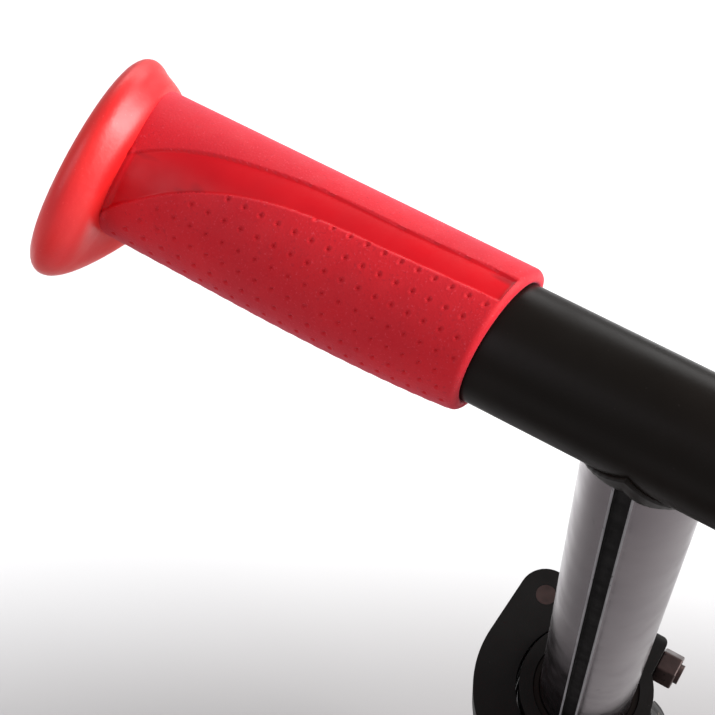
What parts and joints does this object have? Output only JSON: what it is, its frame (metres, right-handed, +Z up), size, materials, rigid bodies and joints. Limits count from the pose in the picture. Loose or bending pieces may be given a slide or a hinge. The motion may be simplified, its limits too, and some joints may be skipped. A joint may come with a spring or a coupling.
{
  "type": "balance bike",
  "caption": "Toddler's pedal-free balance bike: straight bar with flanged grips, height-adjustable stem and saddle with lever clamps, steered fork and foam tyres.",
  "frame": {"origin": "on the ground, midway between the wheels and in the bike's middle plane", "axes": "+X forward, the direction of travel; +Y the rider's left; +Z up"},
  "size_m": [0.6998, 0.2262, 0.5924],
  "materials": {
    "frame_paint": "gloss powder coat",
    "black_paint": "satin powder coat",
    "headset_black": "satin",
    "clamp_black": "black anodised",
    "lever_black": "moulded, satin",
    "chrome_tube": "polished",
    "steel_parts": "zinc plated",
    "grip_rubber": "soft moulded, matt",
    "tyre_foam": "matt foam",
    "rim_plastic": "moulded",
    "saddle_shell": "moulded",
    "saddle_cover": "soft grained vinyl"
  },
  "bodies": {
    "frame": {"head_tube": "frame_paint", "main_tube": "frame_paint", "seat_tube": "frame_paint", "lower_bridge": "frame_paint", "upper_bridge": "frame_paint", "chainstay_left": "frame_paint", "chainstay_right": "frame_paint", "seatstay_left": "frame_paint", "seatstay_right": "frame_paint", "rear_dropout_left": "frame_paint", "rear_dropout_right": "frame_paint", "headset_cup_upper": "headset_black", "headset_cup_lower": "headset_black", "headset_bearings": "steel_parts", "rear_axle": "steel_parts", "rear_axle_spacers": "steel_parts", "rear_axle_washers": "steel_parts", "rear_axle_nuts": "steel_parts", "seat_clamp_collar": "clamp_black", "seat_clamp_washer": "steel_parts", "seat_clamp_nut": "clamp_black", "seat_clamp_skewer": "steel_parts", "seat_clamp_pin": "steel_parts"},
    "fork": {"steerer_tube": "black_paint", "guide_key": "steel_parts", "headset_locknut": "headset_black", "crown_race": "headset_black", "fork_crown": "black_paint", "fork_blade_left": "black_paint", "fork_blade_right": "black_paint", "fork_dropout_left": "black_paint", "fork_dropout_right": "black_paint", "front_axle": "steel_parts", "front_axle_spacers": "steel_parts", "front_axle_washers": "steel_parts", "front_axle_nuts": "steel_parts", "clamp_collar": "clamp_black", "clamp_washer": "steel_parts", "clamp_nut": "clamp_black", "clamp_skewer": "steel_parts", "clamp_pin": "steel_parts"},
    "handlebar": {"handlebar_tube": "black_paint", "stem_tube": "chrome_tube", "stem_weld": "black_paint", "grip_left": "grip_rubber", "grip_right": "grip_rubber"},
    "clamp_lever": {"clamp_lever": "lever_black"},
    "seat_clamp_lever": {"seat_clamp_lever": "lever_black"},
    "saddle": {"seat_post": "chrome_tube", "saddle_bracket": "black_paint", "saddle_bolts": "steel_parts", "saddle_base": "saddle_shell", "saddle_pad": "saddle_cover"},
    "front_wheel": {"front_tyre": "tyre_foam", "front_rim": "rim_plastic", "front_wheel_bearings": "steel_parts"},
    "rear_wheel": {"rear_tyre": "tyre_foam", "rear_rim": "rim_plastic", "rear_wheel_bearings": "steel_parts"}
  },
  "joints": [
    {"name": "steering", "type": "hinge", "parent": "frame", "child": "fork", "pos_m": [0.07728, 0, 0.57454], "axis": [-0.342, 0, 0.9397], "range_deg": [-45, 45]},
    {"name": "handlebar_height", "type": "slide", "parent": "fork", "child": "handlebar", "axis": [-0.342, 0, 0.9397], "range_m": [-0.08, 0]},
    {"name": "clamp_lever_swing", "type": "hinge", "parent": "fork", "child": "clamp_lever", "pos_m": [0.14996, 0.0193, 0.42222], "axis": [0.342, 0, -0.9397], "range_deg": [0, 150]},
    {"name": "front_wheel_spin", "type": "hinge", "parent": "fork", "child": "front_wheel", "pos_m": [0.25, 0, 0.1], "axis": [0, 1, 0], "continuous": true},
    {"name": "rear_wheel_spin", "type": "hinge", "parent": "frame", "child": "rear_wheel", "pos_m": [-0.25, 0, 0.1], "axis": [0, 1, 0], "continuous": true},
    {"name": "saddle_height", "type": "slide", "parent": "frame", "child": "saddle", "axis": [-0.342, 0, 0.9397], "range_m": [0, 0.06]},
    {"name": "seat_clamp_lever_swing", "type": "hinge", "parent": "frame", "child": "seat_clamp_lever", "pos_m": [-0.14567, -0.0193, 0.26271], "axis": [0.342, 0, -0.9397], "range_deg": [0, 150]}
  ]
}
